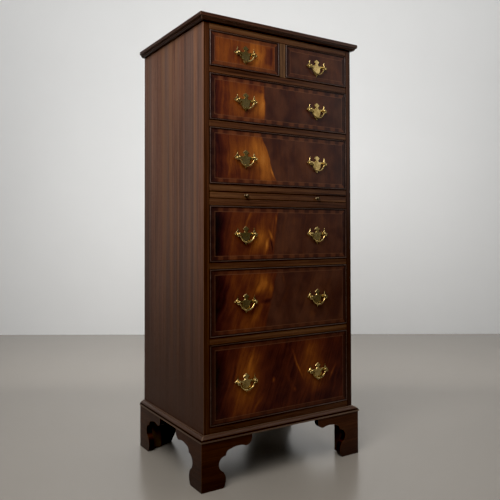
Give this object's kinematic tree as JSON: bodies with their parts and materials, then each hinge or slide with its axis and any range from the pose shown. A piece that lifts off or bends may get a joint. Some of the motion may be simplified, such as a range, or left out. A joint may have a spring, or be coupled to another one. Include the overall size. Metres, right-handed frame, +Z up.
{
  "type": "tall chest of drawers",
  "caption": "Tall narrow mahogany chest of drawers on scrolled bracket feet, with sliding drawers, a pull-out brushing slide, swan-neck brass bails and a moulded cornice.",
  "frame": {"origin": "on the floor, under the middle of the chest's outer box", "axes": "+Z up; the drawers face -Y and open towards -Y; +X is on the right of someone who faces them"},
  "size_m": [0.596, 0.461, 1.372],
  "materials": {
    "figured_mahogany": "polished",
    "plain_mahogany": "polished",
    "inner_timber": "bare",
    "antique_brass": "aged satin"
  },
  "bodies": {
    "carcass": {"back_left_foot": "plain_mahogany", "back_panel": "inner_timber", "back_right_foot": "plain_mahogany", "base_moulding": "plain_mahogany", "bottom_board": "inner_timber", "cornice_moulding": "plain_mahogany", "drawer_rails": "plain_mahogany", "drawer_runners": "inner_timber", "drawer_stops": "inner_timber", "foot_glue_blocks": "inner_timber", "front_left_foot": "plain_mahogany", "front_right_foot": "plain_mahogany", "middle_drawer_guide": "inner_timber", "short_drawer_divider": "plain_mahogany", "side_panel_left": "plain_mahogany", "side_panel_right": "plain_mahogany", "top_board": "plain_mahogany", "top_kickers": "inner_timber"},
    "top_left_drawer": {"top_left_drawer_box": "inner_timber", "top_left_drawer_cockbead": "plain_mahogany", "top_left_drawer_fittings": "antique_brass", "top_left_drawer_front": "figured_mahogany"},
    "top_left_drawer_bail": {"top_left_drawer_bail": "antique_brass"},
    "top_right_drawer": {"top_right_drawer_box": "inner_timber", "top_right_drawer_cockbead": "plain_mahogany", "top_right_drawer_fittings": "antique_brass", "top_right_drawer_front": "figured_mahogany"},
    "top_right_drawer_bail": {"top_right_drawer_bail": "antique_brass"},
    "second_drawer": {"second_drawer_box": "inner_timber", "second_drawer_cockbead": "plain_mahogany", "second_drawer_fittings": "antique_brass", "second_drawer_front": "figured_mahogany"},
    "second_drawer_bail_left": {"second_drawer_bail_left": "antique_brass"},
    "second_drawer_bail_right": {"second_drawer_bail_right": "antique_brass"},
    "third_drawer": {"third_drawer_box": "inner_timber", "third_drawer_cockbead": "plain_mahogany", "third_drawer_fittings": "antique_brass", "third_drawer_front": "figured_mahogany"},
    "third_drawer_bail_left": {"third_drawer_bail_left": "antique_brass"},
    "third_drawer_bail_right": {"third_drawer_bail_right": "antique_brass"},
    "fourth_drawer": {"fourth_drawer_box": "inner_timber", "fourth_drawer_cockbead": "plain_mahogany", "fourth_drawer_fittings": "antique_brass", "fourth_drawer_front": "figured_mahogany"},
    "fourth_drawer_bail_left": {"fourth_drawer_bail_left": "antique_brass"},
    "fourth_drawer_bail_right": {"fourth_drawer_bail_right": "antique_brass"},
    "fifth_drawer": {"fifth_drawer_box": "inner_timber", "fifth_drawer_cockbead": "plain_mahogany", "fifth_drawer_fittings": "antique_brass", "fifth_drawer_front": "figured_mahogany"},
    "fifth_drawer_bail_left": {"fifth_drawer_bail_left": "antique_brass"},
    "fifth_drawer_bail_right": {"fifth_drawer_bail_right": "antique_brass"},
    "bottom_drawer": {"bottom_drawer_box": "inner_timber", "bottom_drawer_cockbead": "plain_mahogany", "bottom_drawer_fittings": "antique_brass", "bottom_drawer_front": "figured_mahogany"},
    "bottom_drawer_bail_left": {"bottom_drawer_bail_left": "antique_brass"},
    "bottom_drawer_bail_right": {"bottom_drawer_bail_right": "antique_brass"},
    "brushing_slide": {"brushing_slide": "plain_mahogany", "brushing_slide_knobs": "antique_brass"}
  },
  "joints": [
    {"name": "top_left_drawer_slide", "type": "slide", "parent": "carcass", "child": "top_left_drawer", "axis": [0, -1, 0], "range_m": [0, 0.3]},
    {"name": "top_left_drawer_bail_swing", "type": "hinge", "parent": "top_left_drawer", "child": "top_left_drawer_bail", "pos_m": [-0.136, -0.2205, 1.278], "axis": [-1, 0, 0], "range_deg": [-7, 187]},
    {"name": "top_right_drawer_slide", "type": "slide", "parent": "carcass", "child": "top_right_drawer", "axis": [0, -1, 0], "range_m": [0, 0.3]},
    {"name": "top_right_drawer_bail_swing", "type": "hinge", "parent": "top_right_drawer", "child": "top_right_drawer_bail", "pos_m": [0.136, -0.2205, 1.278], "axis": [-1, 0, 0], "range_deg": [-7, 187]},
    {"name": "second_drawer_slide", "type": "slide", "parent": "carcass", "child": "second_drawer", "axis": [0, -1, 0], "range_m": [0, 0.3]},
    {"name": "second_drawer_bail_left_swing", "type": "hinge", "parent": "second_drawer", "child": "second_drawer_bail_left", "pos_m": [-0.136, -0.2205, 1.136], "axis": [-1, 0, 0], "range_deg": [-7, 187]},
    {"name": "second_drawer_bail_right_swing", "type": "hinge", "parent": "second_drawer", "child": "second_drawer_bail_right", "pos_m": [0.136, -0.2205, 1.136], "axis": [-1, 0, 0], "range_deg": [-7, 187]},
    {"name": "third_drawer_slide", "type": "slide", "parent": "carcass", "child": "third_drawer", "axis": [0, -1, 0], "range_m": [0, 0.3]},
    {"name": "third_drawer_bail_left_swing", "type": "hinge", "parent": "third_drawer", "child": "third_drawer_bail_left", "pos_m": [-0.136, -0.2205, 0.9635], "axis": [-1, 0, 0], "range_deg": [-7, 187]},
    {"name": "third_drawer_bail_right_swing", "type": "hinge", "parent": "third_drawer", "child": "third_drawer_bail_right", "pos_m": [0.136, -0.2205, 0.9635], "axis": [-1, 0, 0], "range_deg": [-7, 187]},
    {"name": "fourth_drawer_slide", "type": "slide", "parent": "carcass", "child": "fourth_drawer", "axis": [0, -1, 0], "range_m": [0, 0.3]},
    {"name": "fourth_drawer_bail_left_swing", "type": "hinge", "parent": "fourth_drawer", "child": "fourth_drawer_bail_left", "pos_m": [-0.136, -0.2205, 0.734], "axis": [-1, 0, 0], "range_deg": [-7, 187]},
    {"name": "fourth_drawer_bail_right_swing", "type": "hinge", "parent": "fourth_drawer", "child": "fourth_drawer_bail_right", "pos_m": [0.136, -0.2205, 0.734], "axis": [-1, 0, 0], "range_deg": [-7, 187]},
    {"name": "fifth_drawer_slide", "type": "slide", "parent": "carcass", "child": "fifth_drawer", "axis": [0, -1, 0], "range_m": [0, 0.3]},
    {"name": "fifth_drawer_bail_left_swing", "type": "hinge", "parent": "fifth_drawer", "child": "fifth_drawer_bail_left", "pos_m": [-0.136, -0.2205, 0.5315], "axis": [-1, 0, 0], "range_deg": [-7, 187]},
    {"name": "fifth_drawer_bail_right_swing", "type": "hinge", "parent": "fifth_drawer", "child": "fifth_drawer_bail_right", "pos_m": [0.136, -0.2205, 0.5315], "axis": [-1, 0, 0], "range_deg": [-7, 187]},
    {"name": "bottom_drawer_slide", "type": "slide", "parent": "carcass", "child": "bottom_drawer", "axis": [0, -1, 0], "range_m": [0, 0.3]},
    {"name": "bottom_drawer_bail_left_swing", "type": "hinge", "parent": "bottom_drawer", "child": "bottom_drawer_bail_left", "pos_m": [-0.136, -0.2205, 0.294], "axis": [-1, 0, 0], "range_deg": [-7, 187]},
    {"name": "bottom_drawer_bail_right_swing", "type": "hinge", "parent": "bottom_drawer", "child": "bottom_drawer_bail_right", "pos_m": [0.136, -0.2205, 0.294], "axis": [-1, 0, 0], "range_deg": [-7, 187]},
    {"name": "brushing_slide_slide", "type": "slide", "parent": "carcass", "child": "brushing_slide", "axis": [0, -1, 0], "range_m": [0, 0.28]}
  ]
}
